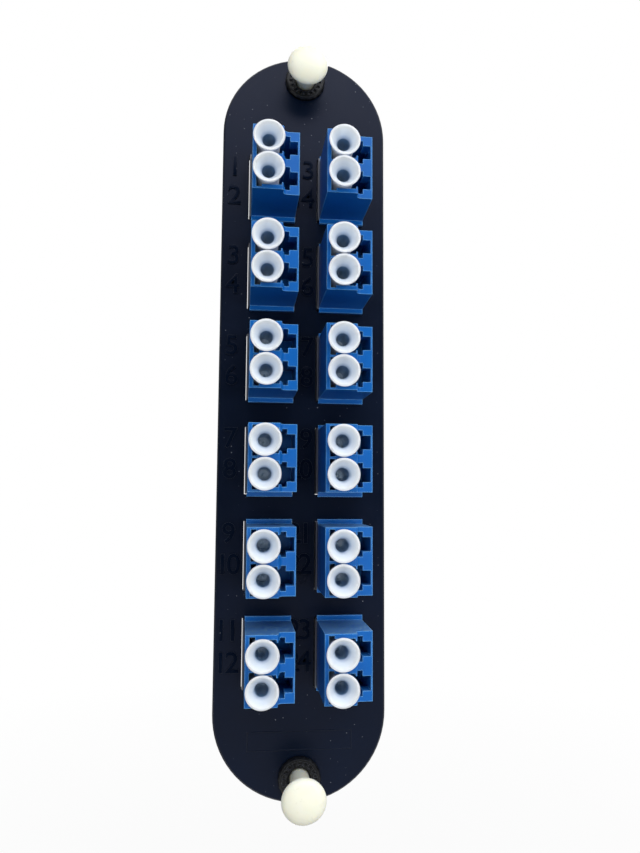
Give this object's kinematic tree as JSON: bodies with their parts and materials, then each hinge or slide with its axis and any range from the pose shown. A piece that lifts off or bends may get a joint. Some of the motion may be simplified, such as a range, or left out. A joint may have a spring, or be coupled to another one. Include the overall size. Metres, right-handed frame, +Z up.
{
  "type": "fibre adapter panel",
  "caption": "Narrow round-ended moulded panel that holds duplex fibre adapters with dust caps, fixed by a push-pull latch at each end.",
  "frame": {"origin": "middle of the seating face behind the edge of the plate", "axes": "+X to the right and +Z up the long side as seen from the front, +Y from the front to the rear"},
  "size_m": [0.0346, 0.0312, 0.1552],
  "materials": {
    "panel_black": "fine satin moulded texture",
    "adapter_blue": "smooth moulded, slightly satin",
    "cap_translucent": "milky translucent, satin",
    "sleeve_ceramic": "polished ceramic",
    "clip_steel": "bright spring steel",
    "latch_black": "moulded, satin",
    "knob_ivory": "smooth moulded nylon"
  },
  "bodies": {
    "panel": {"panel_plate": "panel_black", "adapter_body_01": "adapter_blue", "adapter_body_02": "adapter_blue", "adapter_body_03": "adapter_blue", "adapter_body_04": "adapter_blue", "adapter_body_05": "adapter_blue", "adapter_body_06": "adapter_blue", "adapter_body_07": "adapter_blue", "adapter_body_08": "adapter_blue", "adapter_body_09": "adapter_blue", "adapter_body_10": "adapter_blue", "adapter_body_11": "adapter_blue", "adapter_body_12": "adapter_blue", "ferrule_tubes": "sleeve_ceramic", "retaining_clips": "clip_steel", "latch_grommet_top": "latch_black", "latch_grommet_bottom": "latch_black"},
    "dust_cap_01": {"dust_cap_01": "cap_translucent"},
    "dust_cap_02": {"dust_cap_02": "cap_translucent"},
    "dust_cap_03": {"dust_cap_03": "cap_translucent"},
    "dust_cap_04": {"dust_cap_04": "cap_translucent"},
    "dust_cap_05": {"dust_cap_05": "cap_translucent"},
    "dust_cap_06": {"dust_cap_06": "cap_translucent"},
    "dust_cap_07": {"dust_cap_07": "cap_translucent"},
    "dust_cap_08": {"dust_cap_08": "cap_translucent"},
    "dust_cap_09": {"dust_cap_09": "cap_translucent"},
    "dust_cap_10": {"dust_cap_10": "cap_translucent"},
    "dust_cap_11": {"dust_cap_11": "cap_translucent"},
    "dust_cap_12": {"dust_cap_12": "cap_translucent"},
    "dust_cap_13": {"dust_cap_13": "cap_translucent"},
    "dust_cap_14": {"dust_cap_14": "cap_translucent"},
    "dust_cap_15": {"dust_cap_15": "cap_translucent"},
    "dust_cap_16": {"dust_cap_16": "cap_translucent"},
    "dust_cap_17": {"dust_cap_17": "cap_translucent"},
    "dust_cap_18": {"dust_cap_18": "cap_translucent"},
    "dust_cap_19": {"dust_cap_19": "cap_translucent"},
    "dust_cap_20": {"dust_cap_20": "cap_translucent"},
    "dust_cap_21": {"dust_cap_21": "cap_translucent"},
    "dust_cap_22": {"dust_cap_22": "cap_translucent"},
    "dust_cap_23": {"dust_cap_23": "cap_translucent"},
    "dust_cap_24": {"dust_cap_24": "cap_translucent"},
    "latch_plunger_top": {"latch_plunger_top": "knob_ivory"},
    "latch_plunger_bottom": {"latch_plunger_bottom": "knob_ivory"}
  },
  "joints": [
    {"name": "dust_cap_01_pull", "type": "slide", "parent": "panel", "child": "dust_cap_01", "axis": [0, -1, 0], "range_m": [0, 0.01]},
    {"name": "dust_cap_02_pull", "type": "slide", "parent": "panel", "child": "dust_cap_02", "axis": [0, -1, 0], "range_m": [0, 0.01]},
    {"name": "dust_cap_03_pull", "type": "slide", "parent": "panel", "child": "dust_cap_03", "axis": [0, -1, 0], "range_m": [0, 0.01]},
    {"name": "dust_cap_04_pull", "type": "slide", "parent": "panel", "child": "dust_cap_04", "axis": [0, -1, 0], "range_m": [0, 0.01]},
    {"name": "dust_cap_05_pull", "type": "slide", "parent": "panel", "child": "dust_cap_05", "axis": [0, -1, 0], "range_m": [0, 0.01]},
    {"name": "dust_cap_06_pull", "type": "slide", "parent": "panel", "child": "dust_cap_06", "axis": [0, -1, 0], "range_m": [0, 0.01]},
    {"name": "dust_cap_07_pull", "type": "slide", "parent": "panel", "child": "dust_cap_07", "axis": [0, -1, 0], "range_m": [0, 0.01]},
    {"name": "dust_cap_08_pull", "type": "slide", "parent": "panel", "child": "dust_cap_08", "axis": [0, -1, 0], "range_m": [0, 0.01]},
    {"name": "dust_cap_09_pull", "type": "slide", "parent": "panel", "child": "dust_cap_09", "axis": [0, -1, 0], "range_m": [0, 0.01]},
    {"name": "dust_cap_10_pull", "type": "slide", "parent": "panel", "child": "dust_cap_10", "axis": [0, -1, 0], "range_m": [0, 0.01]},
    {"name": "dust_cap_11_pull", "type": "slide", "parent": "panel", "child": "dust_cap_11", "axis": [0, -1, 0], "range_m": [0, 0.01]},
    {"name": "dust_cap_12_pull", "type": "slide", "parent": "panel", "child": "dust_cap_12", "axis": [0, -1, 0], "range_m": [0, 0.01]},
    {"name": "dust_cap_13_pull", "type": "slide", "parent": "panel", "child": "dust_cap_13", "axis": [0, -1, 0], "range_m": [0, 0.01]},
    {"name": "dust_cap_14_pull", "type": "slide", "parent": "panel", "child": "dust_cap_14", "axis": [0, -1, 0], "range_m": [0, 0.01]},
    {"name": "dust_cap_15_pull", "type": "slide", "parent": "panel", "child": "dust_cap_15", "axis": [0, -1, 0], "range_m": [0, 0.01]},
    {"name": "dust_cap_16_pull", "type": "slide", "parent": "panel", "child": "dust_cap_16", "axis": [0, -1, 0], "range_m": [0, 0.01]},
    {"name": "dust_cap_17_pull", "type": "slide", "parent": "panel", "child": "dust_cap_17", "axis": [0, -1, 0], "range_m": [0, 0.01]},
    {"name": "dust_cap_18_pull", "type": "slide", "parent": "panel", "child": "dust_cap_18", "axis": [0, -1, 0], "range_m": [0, 0.01]},
    {"name": "dust_cap_19_pull", "type": "slide", "parent": "panel", "child": "dust_cap_19", "axis": [0, -1, 0], "range_m": [0, 0.01]},
    {"name": "dust_cap_20_pull", "type": "slide", "parent": "panel", "child": "dust_cap_20", "axis": [0, -1, 0], "range_m": [0, 0.01]},
    {"name": "dust_cap_21_pull", "type": "slide", "parent": "panel", "child": "dust_cap_21", "axis": [0, -1, 0], "range_m": [0, 0.01]},
    {"name": "dust_cap_22_pull", "type": "slide", "parent": "panel", "child": "dust_cap_22", "axis": [0, -1, 0], "range_m": [0, 0.01]},
    {"name": "dust_cap_23_pull", "type": "slide", "parent": "panel", "child": "dust_cap_23", "axis": [0, -1, 0], "range_m": [0, 0.01]},
    {"name": "dust_cap_24_pull", "type": "slide", "parent": "panel", "child": "dust_cap_24", "axis": [0, -1, 0], "range_m": [0, 0.01]},
    {"name": "latch_plunger_top_push", "type": "slide", "parent": "panel", "child": "latch_plunger_top", "axis": [0, 1, 0], "range_m": [-0.0045, 0.0035]},
    {"name": "latch_plunger_bottom_push", "type": "slide", "parent": "panel", "child": "latch_plunger_bottom", "axis": [0, 1, 0], "range_m": [0, 0.008]}
  ]
}
